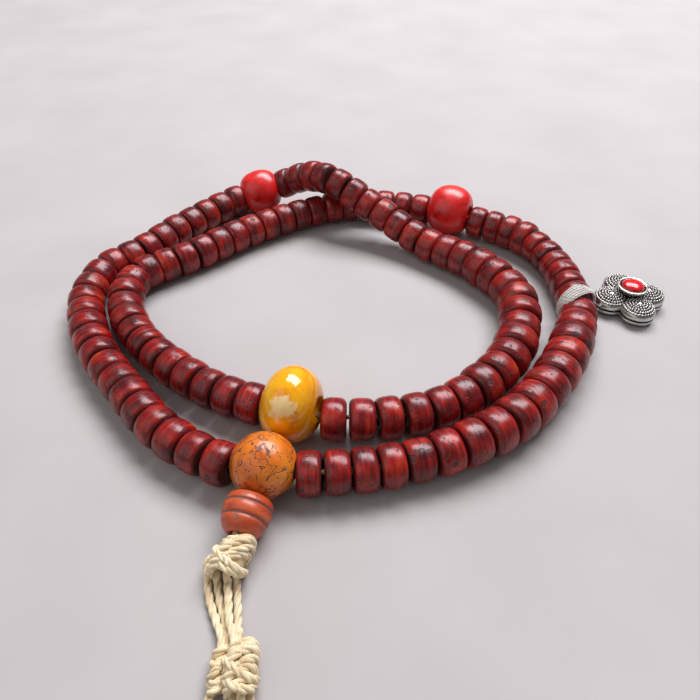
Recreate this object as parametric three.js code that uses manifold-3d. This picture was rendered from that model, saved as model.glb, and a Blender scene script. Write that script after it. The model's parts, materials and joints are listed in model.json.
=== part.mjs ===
// Mala: a string of 108 disc beads with three marker beads, a guru bead with its
// tower, a knotted cotton tassel and a quatrefoil charm, laid on a table in two turns.
// Millimetres, +Z up, standing on Z = 0.
import * as THREE from 'three';
import { mergeVertices } from 'three/addons/utils/BufferGeometryUtils.js';
import Module from 'manifold-3d';

const wasm = await Module();
wasm.setup();

// Disc beads.
const BEAD_RADIUS = 4.6;
const BEAD_LENGTH = 5.2;
const FACE_RADIUS = 3.6;
const NOTCH_RADIUS = 3.7;
const SHOULDER = 0.9;
const BORE_RADIUS = 1.3;
const BEAD_SIDES = 10;
const ROOM = 0.15;

// Cords.
const CORD_RADIUS = 0.75;
const STRAND_RADIUS = 0.68;
const CORD_SIDES = 8;
const GENTLE_TURN = 0.15;

// Marker beads: length along the string and radius.
const MARKER_BORE = 1.5;
const MARKER_GAP = 0.3;
const CORAL_1 = { length: 11.8, radius: 6.55 };
const AMBER = { length: 12.5, radius: 8.1 };
const CORAL_2 = { length: 12.6, radius: 7.25 };

// Guru bead, tower and the top knot, measured from the guru's centre along the tassel.
const GURU_RADIUS = 6.6;
const TASSEL_BORE = 1.8;
const CORE_RADIUS = 1.3;
const CORE_START = 1.6;
const TOWER_RADIUS = 4.7;
const TOWER_START = 6.75;
const TOWER_LENGTH = 7.5;
const TOP_KNOT_START = 14.6;
const TOP_KNOT_LENGTH = 6.6;
const TOP_KNOT_RADIUS = 3.3;
const TOP_KNOT = [-26.5, -63.1, 3.5];

// Charm: four round petals about a bezel, hung from an eye by a tie of thread.
const CHARM_ANGLE = THREE.MathUtils.degToRad(21);
const PETAL_TURN = THREE.MathUtils.degToRad(6);
const CHARM_DISTANCE = 16.8;
const PETAL_CIRCLE = 6.2;
const PETAL_RADIUS = 4.0;
const PLATE_RIM = 0.6;
const PLATE_HEIGHT = 1.8;
const PLATE_GAP = 0.4;
const PLATE_LAND = 4.1;
const BEZEL_RADIUS = 3.9;
const BEZEL_HEIGHT = 2.4;
const CABOCHON_RADIUS = 2.7;
const EYE_DISTANCE = 5.7;
const EYE_RADIUS = 1.1;
const EYE_HOLE = 0.62;
const EYE_THICKNESS = 0.5;
const THREAD_WIDTH = 0.7;

// The string from the guru bead round both turns and back: x, y, z of each point where
// the cord may bend, then what lies between it and the next point.
const ROUTE = [
  [-29.2, -45.7, 6.2, 3],
  [-43.9, -37.1, 4.6, 3],
  [-55.4, -24.7, 4.6, 3],
  [-65.9, -11.4, 4.6, 2],
  [-71.1, -1.4, 4.6, 2],
  [-74.2, 9.4, 4.6, 2],
  [-72.6, 20.5, 4.6, 2],
  [-65.4, 28.9, 4.6, 3],
  [-55.6, 42.7, 4.6, 4],
  [-40.2, 59.0, 5.2, 'coral_bead_1'],
  [-28.4, 62.7, 7.6, 2],
  [-18.8, 57.7, 13.2, 2],
  [-11.2, 51.7, 15.0, 3],
  [1.9, 44.0, 9.6, 3],
  [15.0, 33.9, 5.2, 3],
  [28.0, 23.1, 4.6, 3],
  [36.7, 8.6, 4.6, 3],
  [34.3, -7.7, 4.6, 3],
  [25.4, -21.9, 4.6, 3],
  [11.1, -30.9, 4.6, 4],
  [-11.4, -33.7, 7.6, 'amber_bead'],
  [-24.6, -30.1, 7.6, 3],
  [-39.4, -22.7, 4.6, 4],
  [-56.0, -8.0, 4.6, 3],
  [-63.7, 6.7, 4.6, 2],
  [-62.7, 17.5, 4.6, 3],
  [-49.7, 28.0, 4.6, 4],
  [-33.0, 42.4, 4.6, 4],
  [-14.0, 53.1, 4.6, 3],
  [2.3, 55.3, 4.6, 3],
  [18.4, 51.0, 6.9, 'coral_bead_2'],
  [30.9, 45.2, 6.9, 3],
  [43.5, 37.6, 4.6, 3],
  [50.6, 24.9, 4.6, 4],
  [52.4, 5.7, 4.6, 'tie'],
  [52.4, 3.7, 4.6, 4],
  [43.2, -18.2, 4.6, 4],
  [27.2, -36.0, 4.6, 4],
  [5.2, -45.0, 4.6, 4],
  [-15.8, -47.4, 6.2, 'guru_bead'],
];

// The four tassel cords between the top knot and the lower knots.
const TASSEL_CORDS = [
  [[-31.1, -66.4, 2.1], [-30.9, -68.0, 1.4], [-29.8, -71.5, 0.9], [-28.3, -75.1, 1.0], [-27.2, -78.7, 1.6]],
  [[-28.7, -67.4, 2.4], [-28.0, -70.1, 1.2], [-26.9, -72.8, 0.8], [-25.5, -75.7, 0.9], [-24.7, -78.2, 1.7]],
  [[-27.2, -67.8, 3.4], [-26.8, -69.7, 2.9], [-25.9, -72.9, 2.4], [-24.3, -75.9, 2.6], [-23.3, -78.2, 3.5]],
  [[-25.9, -67.3, 2.2], [-25.3, -69.7, 1.1], [-24.5, -73.1, 0.8], [-23.2, -75.9, 0.9], [-22.2, -78.2, 1.8]],
];

// The free ends below the lower knots.
const TASSEL_ENDS = [
  [[-27.3, -86.7, 1.5], [-28.5, -92.9, 0.8], [-30.8, -100.9, 0.8], [-31.6, -108.9, 0.8], [-30.6, -115.9, 0.8]],
  [[-23.6, -86.6, 1.7], [-24.4, -92.9, 0.8], [-23.6, -99.9, 0.8], [-24.3, -106.9, 0.8], [-25.6, -113.9, 0.8]],
  [[-22.2, -86.6, 3.1], [-21.8, -91.9, 1.1], [-19.9, -98.9, 0.8], [-19.4, -105.9, 0.8], [-20.3, -112.9, 0.8]],
  [[-21.0, -86.6, 1.5], [-19.5, -91.9, 0.8], [-15.9, -97.9, 0.8], [-13.6, -103.9, 0.8], [-13.5, -109.9, 0.8]],
];

// Lower knots: centre, radius and length.
const LOWER_KNOTS = [
  { name: 'lower_knot_left', at: [-27.2, -82.7, 1.6], radius: 1.6, length: 7.0 },
  { name: 'lower_knot_right', at: [-22.8, -82.4, 2.75], radius: 2.75, length: 7.6 },
];

const LACQUER = { color: 0x7c1a14, roughness: 0.35, metalness: 0 };
const COTTON = { color: 0xe6d2a8, roughness: 0.9, metalness: 0 };
const CORAL = { color: 0xc01d16, roughness: 0.3, metalness: 0 };
const YELLOW = { color: 0xe0a21c, roughness: 0.15, metalness: 0 };
const ORANGE = { color: 0xb8431f, roughness: 0.35, metalness: 0 };
const SILVER = { color: 0x8f9090, roughness: 0.4, metalness: 1 };
const THREAD = { color: 0xf2efe6, roughness: 0.9, metalness: 0 };

const group = new THREE.Group();

function addMesh(name, geometry, look) {
  const mesh = new THREE.Mesh(geometry, new THREE.MeshStandardMaterial(look));
  mesh.name = name;
  group.add(mesh);
}

function vector(point) {
  return new THREE.Vector3(point[0], point[1], point[2]);
}

function welded(geometry) {
  geometry.deleteAttribute('normal');
  geometry.deleteAttribute('uv');
  const merged = mergeVertices(geometry, 1e-4);
  const index = merged.getIndex().array;
  const kept = [];
  for (let i = 0; i < index.length; i += 3) {
    const [a, b, c] = [index[i], index[i + 1], index[i + 2]];
    if (a !== b && b !== c && c !== a) kept.push(a, b, c);
  }
  merged.setIndex(kept);
  return merged;
}

function toManifold(geometry) {
  const solid = welded(geometry);
  const vertProperties = new Float32Array(solid.getAttribute('position').array);
  const triVerts = new Uint32Array(solid.getIndex().array);
  return new wasm.Manifold(new wasm.Mesh({ numProp: 3, vertProperties, triVerts }));
}

function fromManifold(solid) {
  const mesh = solid.getMesh();
  const geometry = new THREE.BufferGeometry();
  geometry.setAttribute('position', new THREE.BufferAttribute(mesh.vertProperties, 3));
  geometry.setIndex(new THREE.BufferAttribute(mesh.triVerts, 1));
  return geometry;
}

// A turned solid about the local Y axis; the outline runs up the outside.
function turned(outline, sides) {
  const points = outline.map(([radius, along]) => new THREE.Vector2(radius, along));
  return new THREE.LatheGeometry(points, sides);
}

// Local Y goes along the direction and one edge of the solid faces straight down.
function placed(geometry, start, direction) {
  const along = direction.clone().normalize();
  const down = new THREE.Vector3(0, 0, -1);
  down.addScaledVector(along, -down.dot(along)).normalize();
  const side = new THREE.Vector3().crossVectors(along, down);
  const matrix = new THREE.Matrix4().makeBasis(side, along, down).setPosition(start);
  return geometry.applyMatrix4(matrix);
}

// A path whose stations are met one by one as the tube steps along it.
class StationPath extends THREE.Curve {
  constructor(stations) {
    super();
    this.stations = stations;
  }

  getPoint(t) {
    const last = this.stations.length - 1;
    const i = Math.min(Math.floor(t * last + 1e-6), last - 1);
    return this.stations[i].clone().lerp(this.stations[i + 1], t * last - i);
  }

  getPointAt(u) {
    return this.getPoint(u);
  }

  getTangentAt(u) {
    const last = this.stations.length - 1;
    const i = Math.round(u * last);
    const here = this.stations[i];
    const sum = new THREE.Vector3();
    if (i > 0) sum.add(here.clone().sub(this.stations[i - 1]).normalize());
    if (i < last) sum.add(this.stations[i + 1].clone().sub(here).normalize());
    return sum.normalize();
  }
}

function tube(stations, radius) {
  const section = new THREE.Shape();
  for (let i = 0; i < CORD_SIDES; i += 1) {
    const angle = (2 * Math.PI * i) / CORD_SIDES;
    const x = radius * Math.cos(angle);
    const y = radius * Math.sin(angle);
    if (i === 0) section.moveTo(x, y);
    else section.lineTo(x, y);
  }
  section.closePath();
  const extrudePath = new StationPath(stations);
  return new THREE.ExtrudeGeometry(section, { steps: stations.length - 1, extrudePath });
}

// Half the turn of the cord at a route point, from the stretches before and after it.
function halfTurn(before, after) {
  return before.angleTo(after) / 2;
}

// How far a bead's face must stay from a bend so that two discs do not meet.
function bendRoom(half, faceRadius) {
  return faceRadius * Math.tan(half) + ROOM;
}

const points = ROUTE.map(vector);
const spans = ROUTE.map((row, i) => points[(i + 1) % points.length].clone().sub(points[i]));
const rooms = spans.map((span, i) => {
  const last = (i + spans.length - 1) % spans.length;
  const discs = typeof ROUTE[i][3] === 'number' && typeof ROUTE[last][3] === 'number';
  return bendRoom(halfTurn(spans[last], span), discs ? FACE_RADIUS : BEAD_RADIUS);
});

function runOutline(count, length) {
  const outline = [[BORE_RADIUS, 0], [FACE_RADIUS, 0]];
  for (let i = 0; i < count; i += 1) {
    const start = i * length;
    if (i > 0) outline.push([NOTCH_RADIUS, start]);
    outline.push([BEAD_RADIUS, start + SHOULDER]);
    outline.push([BEAD_RADIUS, start + length - SHOULDER]);
  }
  outline.push([FACE_RADIUS, count * length]);
  outline.push([BORE_RADIUS, count * length]);
  outline.push([BORE_RADIUS, 0]);
  return outline;
}

// A run of disc beads threaded on one straight stretch of the cord.
function beadRun(name, i, count) {
  const span = spans[i];
  const before = rooms[i];
  const after = rooms[(i + 1) % rooms.length];
  const free = span.length() - before - after;
  const length = Math.min(BEAD_LENGTH, free / count);
  const offset = before + (free - count * length) / 2;
  const start = points[i].clone().addScaledVector(span.clone().normalize(), offset);
  addMesh(name, welded(placed(turned(runOutline(count, length), BEAD_SIDES), start, span)), LACQUER);
}

// A marker bead: a fat turned barrel resting on the table with the cord through it.
function markerBead(name, i, size, look) {
  const outline = [[MARKER_BORE, 0]];
  const bands = 7;
  for (let k = 0; k <= bands; k += 1) {
    const angle = Math.PI * (0.1 + (0.8 * k) / bands);
    const swell = Math.pow(Math.sin(angle), 0.75);
    const reach = (1 - Math.cos(angle) / Math.cos(0.1 * Math.PI)) / 2;
    outline.push([size.radius * swell, size.length * reach]);
  }
  outline.push([MARKER_BORE, size.length]);
  outline.push([MARKER_BORE, 0]);
  const middle = points[i].clone().addScaledVector(spans[i], 0.5);
  middle.z = Math.max(middle.z, size.radius);
  const start = middle.addScaledVector(spans[i].clone().normalize(), -size.length / 2);
  addMesh(name, welded(placed(turned(outline, 18), start, spans[i])), look);
}

function stringOfBeads() {
  let number = 0;
  ROUTE.forEach((row, i) => {
    if (typeof row[3] !== 'number') return;
    number += 1;
    beadRun(`bead_run_${String(number).padStart(2, '0')}`, i, row[3]);
  });
}

function routeIndex(name) {
  return ROUTE.findIndex((row) => row[3] === name);
}

const guruIndex = routeIndex('guru_bead');
const guruCentre = points[guruIndex].clone().addScaledVector(spans[guruIndex], 0.5);
guruCentre.z = GURU_RADIUS;
const tasselAxis = vector(TOP_KNOT).sub(guruCentre).normalize();

// The string's own cord, from inside the guru bead round to inside it again.
function mainCord() {
  const stations = [];
  const guruSpan = spans[guruIndex];
  const guruMiddle = points[guruIndex].clone().addScaledVector(guruSpan, 0.5);
  const inward = guruSpan.clone().normalize();
  stations.push(guruMiddle.clone().addScaledVector(inward, CORD_RADIUS));
  points.forEach((point, i) => {
    const before = spans[(i + spans.length - 1) % spans.length].clone().normalize();
    const after = spans[i].clone().normalize();
    const half = halfTurn(before, after);
    if (2 * half < GENTLE_TURN || ROUTE[i][3] === 'tie') {
      stations.push(point.clone());
      return;
    }
    const reach = Math.min(rooms[i], 2);
    stations.push(point.clone().addScaledVector(before, -reach));
    stations.push(point.clone().addScaledVector(after, reach));
  });
  stations.push(guruMiddle.clone().addScaledVector(inward, -CORD_RADIUS));
  addMesh('main_cord', welded(tube(stations, CORD_RADIUS)), COTTON);
}

function cylinder(radius, from, to, sides) {
  const span = to.clone().sub(from);
  const outline = [[0, 0], [radius, 0], [radius, span.length()], [0, span.length()]];
  return placed(turned(outline, sides), from, span);
}

// The guru bead has a bore along the string and a third hole for the tassel.
function guruBead() {
  const ball = new THREE.SphereGeometry(GURU_RADIUS, 20, 12);
  ball.rotateX(Math.PI / 2);
  ball.translate(guruCentre.x, guruCentre.y, guruCentre.z);
  const along = spans[guruIndex].clone().normalize().multiplyScalar(GURU_RADIUS * 1.2);
  const bore = cylinder(MARKER_BORE, guruCentre.clone().sub(along), guruCentre.clone().add(along), 12);
  const outside = guruCentre.clone().addScaledVector(tasselAxis, GURU_RADIUS * 1.2);
  const third = cylinder(TASSEL_BORE, guruCentre, outside, 12);
  const solid = toManifold(ball).subtract(toManifold(bore)).subtract(toManifold(third));
  addMesh('guru_bead', fromManifold(solid), ORANGE);
}

function onTassel(distance) {
  return guruCentre.clone().addScaledVector(tasselAxis, distance);
}

// The tower: a small barrel with two grooves turned into it.
function towerBead() {
  const r = TOWER_RADIUS;
  const l = TOWER_LENGTH;
  const outline = [
    [TASSEL_BORE, 0],
    [0.74 * r, 0],
    [0.93 * r, 0.12 * l],
    [0.98 * r, 0.25 * l],
    [0.9 * r, 0.3 * l],
    [0.98 * r, 0.35 * l],
    [r, 0.47 * l],
    [0.96 * r, 0.58 * l],
    [0.86 * r, 0.63 * l],
    [0.91 * r, 0.68 * l],
    [0.8 * r, 0.84 * l],
    [0.56 * r, l],
    [TASSEL_BORE, l],
    [TASSEL_BORE, 0],
  ];
  addMesh('tower_bead', welded(placed(turned(outline, 16), onTassel(TOWER_START), tasselAxis)), ORANGE);
}

// The ends of the string side by side in the guru's third hole and the tower.
function tasselCore() {
  const stop = TOP_KNOT_START - MARKER_GAP;
  const core = cylinder(CORE_RADIUS, onTassel(CORE_START), onTassel(stop), CORD_SIDES);
  addMesh('tassel_core', welded(core), COTTON);
}

// A knot as a turned bundle of wraps.
function knotOutline(radius, length, wraps) {
  const outline = [[0, 0], [0.5 * radius, 0]];
  for (let i = 0; i < wraps; i += 1) {
    const middle = (i + 0.5) / wraps;
    const swell = radius * (1 - 0.9 * Math.pow(middle - 0.5, 2));
    if (i > 0) outline.push([0.84 * swell, (length * i) / wraps]);
    outline.push([swell, (length * (i + 0.3)) / wraps]);
    outline.push([swell, (length * (i + 0.7)) / wraps]);
  }
  outline.push([0.5 * radius, length], [0, length]);
  return outline;
}

function knots() {
  const top = turned(knotOutline(TOP_KNOT_RADIUS, TOP_KNOT_LENGTH, 3), 10);
  addMesh('top_knot', welded(placed(top, onTassel(TOP_KNOT_START), tasselAxis)), COTTON);
  LOWER_KNOTS.forEach((knot) => {
    const start = vector(knot.at);
    start.y += knot.length / 2;
    const solid = turned(knotOutline(knot.radius, knot.length, 4), 10);
    addMesh(knot.name, welded(placed(solid, start, new THREE.Vector3(0, -1, 0))), COTTON);
  });
}

function smoothTube(route) {
  const curve = new THREE.CatmullRomCurve3(route.map(vector));
  const steps = Math.ceil(curve.getLength() / (5 * STRAND_RADIUS));
  return tube(curve.getSpacedPoints(steps), STRAND_RADIUS);
}

function tasselCords() {
  TASSEL_CORDS.forEach((route, i) => addMesh(`tassel_cord_${i + 1}`, welded(smoothTube(route)), COTTON));
  TASSEL_ENDS.forEach((route, i) => addMesh(`tassel_end_${i + 1}`, welded(smoothTube(route)), COTTON));
}

const tieIndex = routeIndex('tie');
const tiePoint = points[tieIndex].clone().addScaledVector(spans[tieIndex], 0.5);
const charmWay = new THREE.Vector3(Math.cos(CHARM_ANGLE), Math.sin(CHARM_ANGLE), 0);
const eyeHeight = PLATE_HEIGHT + PLATE_GAP / 2;

// Outline round two circles of different size, the first at the origin.
function twoCircleOutline(radiusA, radiusB, x, y) {
  const distance = Math.hypot(x, y);
  const heading = Math.atan2(y, x);
  const lean = Math.acos((radiusA - radiusB) / distance);
  const outline = [];
  for (let i = 0; i <= 10; i += 1) {
    const angle = heading + lean + ((2 * Math.PI - 2 * lean) * i) / 10;
    outline.push(new THREE.Vector2(radiusA * Math.cos(angle), radiusA * Math.sin(angle)));
  }
  for (let i = 0; i <= 8; i += 1) {
    const angle = heading - lean + (2 * lean * i) / 8;
    outline.push(new THREE.Vector2(x + radiusB * Math.cos(angle), y + radiusB * Math.sin(angle)));
  }
  return outline;
}

// The tie: a drop-shaped loop of thread round the cord and through the charm's eye.
function threadTie() {
  const tip = EYE_DISTANCE - 0.85;
  const drop = eyeHeight - tiePoint.z;
  const shape = new THREE.Shape(twoCircleOutline(1.9, 1.1, tip, drop));
  shape.holes.push(new THREE.Path(twoCircleOutline(1.15, 0.6, tip, drop)));
  const geometry = new THREE.ExtrudeGeometry(shape, { depth: THREAD_WIDTH, bevelEnabled: false });
  geometry.translate(0, 0, -THREAD_WIDTH / 2);
  geometry.rotateX(Math.PI / 2);
  geometry.rotateZ(CHARM_ANGLE);
  geometry.translate(tiePoint.x, tiePoint.y, tiePoint.z);
  addMesh('thread_tie', welded(geometry), THREAD);
}

function turnedUpright(outline, sides, centre, turn) {
  const geometry = turned(outline, sides);
  geometry.rotateX(Math.PI / 2);
  geometry.rotateZ(turn);
  return geometry.translate(centre.x, centre.y, centre.z);
}

function charmEye() {
  const bottom = -EYE_THICKNESS / 2;
  const top = EYE_THICKNESS / 2;
  const outline = [
    [EYE_HOLE, bottom],
    [EYE_RADIUS, bottom],
    [EYE_RADIUS, top],
    [EYE_HOLE, top],
    [EYE_HOLE, bottom],
  ];
  const centre = tiePoint.clone().addScaledVector(charmWay, EYE_DISTANCE);
  centre.z = eyeHeight;
  addMesh('charm_eye', welded(turnedUpright(outline, 16, centre, 0)), SILVER);
}

// One pressed plate: four domed petals about a flat middle, facing up.
function charmPlate() {
  const rise = PLATE_HEIGHT - PLATE_RIM;
  const dome = [[0, 0], [PETAL_RADIUS, 0], [PETAL_RADIUS, PLATE_RIM]];
  [0.35, 0.65, 0.88].forEach((share) => {
    dome.push([PETAL_RADIUS * Math.sqrt(1 - share * share), PLATE_RIM + rise * share]);
  });
  dome.push([0, PLATE_HEIGHT]);
  const land = [[0, 0], [PLATE_LAND, 0], [PLATE_LAND, PLATE_HEIGHT], [0, PLATE_HEIGHT]];
  let plate = toManifold(turnedUpright(land, 20, new THREE.Vector3(), 0));
  for (let i = 0; i < 4; i += 1) {
    const angle = PETAL_TURN + (i * Math.PI) / 2;
    const centre = new THREE.Vector3(Math.cos(angle), Math.sin(angle), 0).multiplyScalar(PETAL_CIRCLE);
    plate = plate.add(toManifold(turnedUpright(dome, 14, centre, PETAL_TURN)));
  }
  return fromManifold(plate);
}

// The charm: a back plate, a front plate, a bezel cup and its cabochon.
function charm() {
  const centre = tiePoint.clone().addScaledVector(charmWay, CHARM_DISTANCE);
  const back = charmPlate();
  back.rotateX(Math.PI);
  back.rotateZ(2 * PETAL_TURN);
  back.translate(centre.x, centre.y, PLATE_HEIGHT);
  addMesh('charm_back_plate', back, SILVER);
  const frontBottom = PLATE_HEIGHT + PLATE_GAP;
  addMesh('charm_front_plate', charmPlate().translate(centre.x, centre.y, frontBottom), SILVER);
  const seat = frontBottom + PLATE_HEIGHT + 0.2;
  const bezel = [
    [0, 0],
    [BEZEL_RADIUS, 0],
    [BEZEL_RADIUS, 0.5],
    [0.86 * BEZEL_RADIUS, 1.1],
    [0.88 * BEZEL_RADIUS, BEZEL_HEIGHT],
    [CABOCHON_RADIUS + 0.2, BEZEL_HEIGHT],
    [CABOCHON_RADIUS + 0.2, 0.8],
    [0, 0.8],
  ];
  centre.z = seat;
  addMesh('charm_bezel', welded(turnedUpright(bezel, 18, centre, 0)), SILVER);
  const stone = [[0, 0], [CABOCHON_RADIUS, 0], [CABOCHON_RADIUS, 1.0]];
  [0.4, 0.75, 0.93].forEach((share) => {
    stone.push([CABOCHON_RADIUS * Math.sqrt(1 - share * share), 1.0 + 1.3 * share]);
  });
  stone.push([0, 2.3]);
  centre.z = seat + 1;
  addMesh('charm_cabochon', welded(turnedUpright(stone, 14, centre, 0)), CORAL);
}

stringOfBeads();
markerBead('coral_bead_1', routeIndex('coral_bead_1'), CORAL_1, CORAL);
markerBead('amber_bead', routeIndex('amber_bead'), AMBER, YELLOW);
markerBead('coral_bead_2', routeIndex('coral_bead_2'), CORAL_2, CORAL);
mainCord();
guruBead();
towerBead();
tasselCore();
knots();
tasselCords();
threadTie();
charmEye();
charm();

export default group;
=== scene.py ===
import bpy
import bmesh
import json
import math
import random
import numpy as np
from mathutils import Vector, Matrix, noise


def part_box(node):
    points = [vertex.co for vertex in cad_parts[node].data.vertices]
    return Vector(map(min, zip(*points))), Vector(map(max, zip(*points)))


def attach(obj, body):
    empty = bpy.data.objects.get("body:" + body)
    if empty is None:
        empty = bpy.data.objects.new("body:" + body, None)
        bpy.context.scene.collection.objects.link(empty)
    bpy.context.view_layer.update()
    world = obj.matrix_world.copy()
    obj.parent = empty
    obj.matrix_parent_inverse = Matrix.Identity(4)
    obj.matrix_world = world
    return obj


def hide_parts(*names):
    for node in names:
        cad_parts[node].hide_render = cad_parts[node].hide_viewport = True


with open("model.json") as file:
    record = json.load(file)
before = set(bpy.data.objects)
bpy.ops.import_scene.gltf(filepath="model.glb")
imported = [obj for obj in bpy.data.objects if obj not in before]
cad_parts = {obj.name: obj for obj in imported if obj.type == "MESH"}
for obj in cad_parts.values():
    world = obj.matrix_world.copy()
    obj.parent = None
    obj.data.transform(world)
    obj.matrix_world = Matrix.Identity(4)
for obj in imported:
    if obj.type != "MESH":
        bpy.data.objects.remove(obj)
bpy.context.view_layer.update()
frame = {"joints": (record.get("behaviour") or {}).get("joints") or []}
rng = random.Random(108)

# ---------------------------------------------------------------- sizes (metres)
BEAD_RADIUS = 0.0046
BEAD_THICKNESS = 0.0054
BORE_RADIUS = 0.0013
STRING_RADIUS = 0.00072
STRAND_RADIUS = 0.00074
YARN_RADIUS = 0.00022
GURU_RADIUS = 0.0066
TOWER_RADIUS = 0.0047
TOWER_LENGTH = 0.0075
TOWER_DISTANCE = 0.0105  # from the guru bead's centre along the tassel
KNOT_DISTANCE = 0.0178

# The string's route from the guru bead round both turns and back: x, y, z, then what
# lies on the stretch that follows (a number of disc beads, or a marker).
ROUTE = [
    (-0.0292, -0.0457, 0.0055, 3),
    (-0.0439, -0.0371, 0.0046, 3),
    (-0.0554, -0.0247, 0.0046, 3),
    (-0.0659, -0.0114, 0.0046, 2),
    (-0.0711, -0.0014, 0.0046, 2),
    (-0.0742, 0.0094, 0.0046, 2),
    (-0.0726, 0.0205, 0.0046, 2),
    (-0.0654, 0.0289, 0.0046, 3),
    (-0.0556, 0.0427, 0.0046, 4),
    (-0.0402, 0.0590, 0.0052, "coral_bead_1"),
    (-0.0284, 0.0627, 0.0076, 2),
    (-0.0188, 0.0577, 0.0132, 2),
    (-0.0112, 0.0517, 0.0150, 3),
    (0.0019, 0.0440, 0.0096, 3),
    (0.0150, 0.0339, 0.0052, 3),
    (0.0280, 0.0231, 0.0046, 3),
    (0.0367, 0.0086, 0.0046, 3),
    (0.0346, -0.0079, 0.0046, 3),
    (0.0254, -0.0219, 0.0046, 3),
    (0.0111, -0.0309, 0.0046, 4),
    (-0.0114, -0.0337, 0.0064, "amber_bead"),
    (-0.0246, -0.0301, 0.0064, 3),
    (-0.0394, -0.0227, 0.0046, 4),
    (-0.0560, -0.0080, 0.0046, 3),
    (-0.0637, 0.0067, 0.0046, 2),
    (-0.0627, 0.0175, 0.0046, 3),
    (-0.0497, 0.0280, 0.0046, 4),
    (-0.0330, 0.0424, 0.0046, 4),
    (-0.0140, 0.0531, 0.0046, 3),
    (0.0023, 0.0553, 0.0046, 3),
    (0.0184, 0.0510, 0.0059, "coral_bead_2"),
    (0.0309, 0.0452, 0.0059, 3),
    (0.0435, 0.0376, 0.0046, 3),
    (0.0506, 0.0249, 0.0046, 4),
    (0.0524, 0.0057, 0.0046, "tie"),
    (0.0524, 0.0037, 0.0046, 4),
    (0.0426, -0.0177, 0.0046, 4),
    (0.0267, -0.0352, 0.0046, 4),
    (0.0051, -0.0446, 0.0046, 4),
    (-0.0158, -0.0474, 0.0055, "guru_bead"),
]


# ---------------------------------------------------------------- small tools
def within(low, high, value):
    return min(high, max(low, value))


def box_centre(node):
    low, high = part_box(node)
    return (Vector(low) + Vector(high)) / 2


def joint(name):
    """Place and direction of a joint of the frame."""
    found = next(j for j in frame["joints"] if j["name"] == name)
    return Vector(found["pos_m"]), Vector(found["axis"]).normalized()


def basis(axis, up=Vector((0, 0, 1))):
    """A rotation whose Z is the axis and whose X is as near as it can be to up."""
    z = Vector(axis).normalized()
    x = Vector(up) - z * Vector(up).dot(z)
    if x.length < 1e-6:
        x = Vector((1, 0, 0)) - z * z.x
    x.normalize()
    return Matrix((x, z.cross(x), z)).transposed()


def add_piece(name, mesh, material, body, nodes, matrix=None):
    piece = bpy.data.objects.new(name, mesh)
    bpy.context.scene.collection.objects.link(piece)
    if matrix is not None:
        piece.matrix_world = matrix
    mesh.materials.append(material)
    for polygon in mesh.polygons:
        polygon.use_smooth = True
    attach(piece, body)
    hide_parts(*nodes)
    return piece


def mesh_from(name, vertices, faces):
    mesh = bpy.data.meshes.new(name)
    mesh.from_pydata([tuple(map(float, v)) for v in vertices], [], faces)
    mesh.validate()
    mesh.update()
    return mesh


def set_attribute(mesh, name, values):
    attribute = mesh.attributes.new(name, "FLOAT", "POINT")
    attribute.data.foreach_set("value", values)


def lathe(name, outline, sides, shape=None):
    """A turned mesh about Z. The outline closes on itself or starts and ends on the axis."""
    closed = outline[0][0] > 1e-9
    ring = outline[:-1] if closed and outline[0] == outline[-1] else outline
    vertices, index = [], []
    for r, z in ring:
        if r < 1e-9:
            index.append([len(vertices)] * sides)
            vertices.append(Vector((0, 0, z)))
            continue
        index.append(list(range(len(vertices), len(vertices) + sides)))
        for k in range(sides):
            a = 2 * math.pi * k / sides
            vertices.append(Vector((r * math.cos(a), r * math.sin(a), z)))
    faces = []
    count = len(ring)
    for i in range(count if closed else count - 1):
        a, b = index[i], index[(i + 1) % count]
        for k in range(sides):
            m = (k + 1) % sides
            corner = [a[k], a[m], b[m], b[k]]
            unique = list(dict.fromkeys(corner))
            if len(unique) > 2:
                faces.append(unique)
    if shape:
        vertices = [shape(v) for v in vertices]
    return mesh_from(name, vertices, faces)


def resample(points, step):
    """Points at equal steps along a smooth curve through the given ones."""
    p = [Vector(q) for q in points]
    p = [p[0] * 2 - p[1]] + p + [p[-1] * 2 - p[-2]]
    dense = []
    for i in range(1, len(p) - 2):
        for k in range(24):
            dense.append(catmull(p[i - 1], p[i], p[i + 1], p[i + 2], k / 24))
    dense.append(p[-2])
    lengths = np.concatenate([[0], np.cumsum([(b - a).length for a, b in zip(dense, dense[1:])])])
    count = max(2, int(round(lengths[-1] / step)))
    table = np.array([list(v) for v in dense])
    wanted = np.linspace(0, lengths[-1], count + 1)
    return np.stack([np.interp(wanted, lengths, table[:, k]) for k in range(3)], 1)


def catmull(a, b, c, d, t):
    """Centripetal Catmull-Rom between b and c."""
    ta = 0.0
    tb = ta + max((b - a).length, 1e-9) ** 0.5
    tc = tb + max((c - b).length, 1e-9) ** 0.5
    td = tc + max((d - c).length, 1e-9) ** 0.5
    x = tb + (tc - tb) * t
    a1 = a * ((tb - x) / (tb - ta)) + b * ((x - ta) / (tb - ta))
    a2 = b * ((tc - x) / (tc - tb)) + c * ((x - tb) / (tc - tb))
    a3 = c * ((td - x) / (td - tc)) + d * ((x - tc) / (td - tc))
    b1 = a1 * ((tc - x) / (tc - ta)) + a2 * ((x - ta) / (tc - ta))
    b2 = a2 * ((td - x) / (td - tb)) + a3 * ((x - tb) / (td - tb))
    return b1 * ((tc - x) / (tc - tb)) + b2 * ((x - tb) / (tc - tb))


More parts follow.
